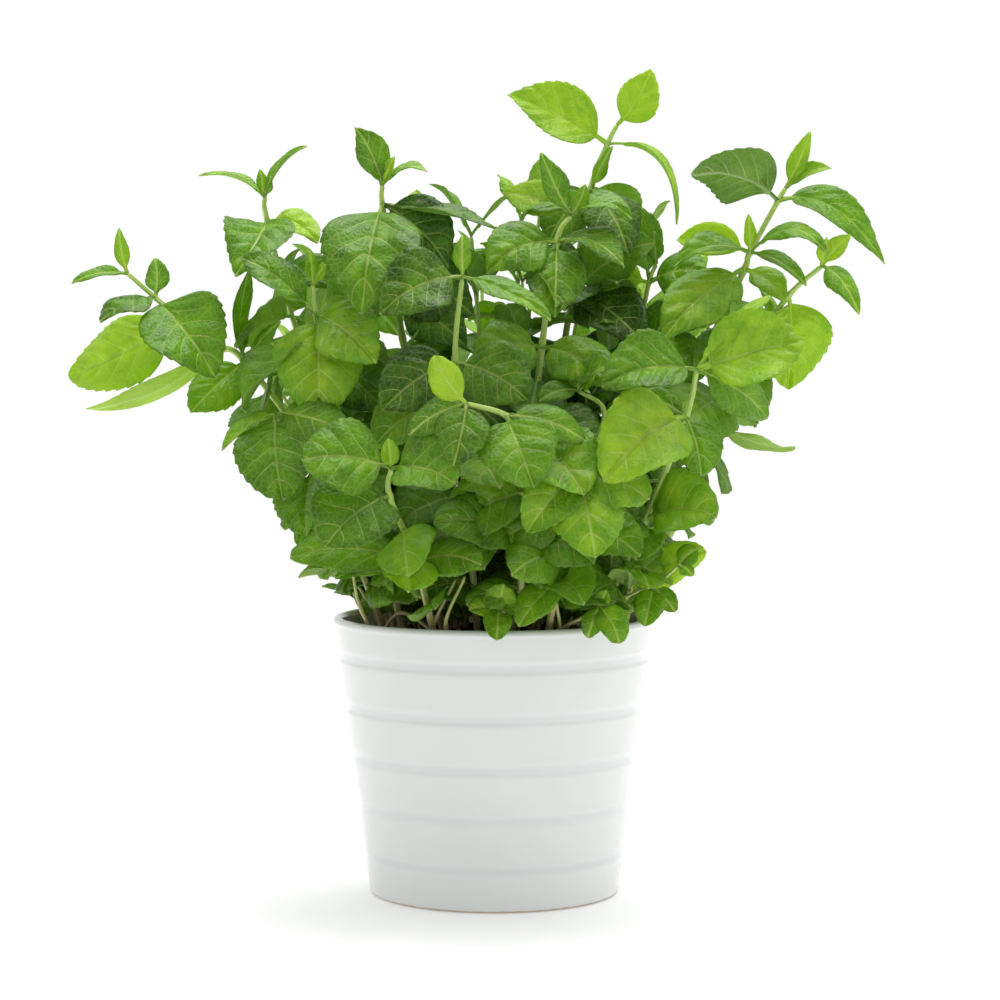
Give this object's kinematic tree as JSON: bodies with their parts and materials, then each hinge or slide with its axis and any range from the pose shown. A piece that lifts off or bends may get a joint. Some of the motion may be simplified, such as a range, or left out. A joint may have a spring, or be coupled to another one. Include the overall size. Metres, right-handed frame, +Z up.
{
  "type": "potted mint plant",
  "caption": "Bushy mint plant with loose arching shoots, growing in a tapered white glazed pot ringed by shallow grooves.",
  "frame": {"origin": "centre of the pot's flat foot, on the surface that it stands on", "axes": "+Z up along the pot's axis, +X to the right and -Y towards the viewer, as the plant is seen from its front"},
  "size_m": [0.3497, 0.2338, 0.3561],
  "materials": {
    "glaze": "smooth white glaze, a little glossy",
    "compost": "moist dark peat compost, crumbly and matt",
    "stem": "green square stem, finely haired",
    "leaf": "fresh green leaf, quilted between its veins, satin above and matt below"
  },
  "bodies": {
    "root": {"compost": "compost", "leaf_back_left_a": "leaf", "leaf_back_left_b": "leaf", "leaf_back_left_c": "leaf", "leaf_back_right_a": "leaf", "leaf_back_right_b": "leaf", "leaf_back_right_c": "leaf", "leaf_centre_a": "leaf", "leaf_centre_b": "leaf", "leaf_centre_left_a": "leaf", "leaf_far_left_a": "leaf", "leaf_far_left_b": "leaf", "leaf_far_left_c": "leaf", "leaf_far_left_d": "leaf", "leaf_front_centre_a": "leaf", "leaf_front_centre_b": "leaf", "leaf_front_left_a": "leaf", "leaf_front_left_b": "leaf", "leaf_front_left_c": "leaf", "leaf_front_right_a": "leaf", "leaf_left_low_a": "leaf", "leaf_left_middle_a": "leaf", "leaf_left_middle_b": "leaf", "leaf_left_tall_a": "leaf", "leaf_left_tall_b": "leaf", "leaf_left_tall_c": "leaf", "leaf_right_front_a": "leaf", "leaf_right_front_b": "leaf", "leaf_right_front_c": "leaf", "leaf_right_front_d": "leaf", "leaf_right_tip_a": "leaf", "leaf_right_tip_b": "leaf", "leaf_right_top_a": "leaf", "leaf_right_top_b": "leaf", "leaf_right_top_c": "leaf", "leaf_right_top_d": "leaf", "leaf_tall_back_a": "leaf", "leaf_tall_back_b": "leaf", "leaf_tall_back_c": "leaf", "leaf_upper_left_a": "leaf", "leaf_upper_left_b": "leaf", "pot": "glaze", "stem_back_left": "stem", "stem_back_right": "stem", "stem_centre": "stem", "stem_centre_left": "stem", "stem_far_left": "stem", "stem_front_centre": "stem", "stem_front_left": "stem", "stem_front_right": "stem", "stem_left_low": "stem", "stem_left_middle": "stem", "stem_left_tall": "stem", "stem_right_front": "stem", "stem_right_tip": "stem", "stem_right_top": "stem", "stem_tall_back": "stem", "stem_upper_left": "stem"}
  },
  "joints": []
}
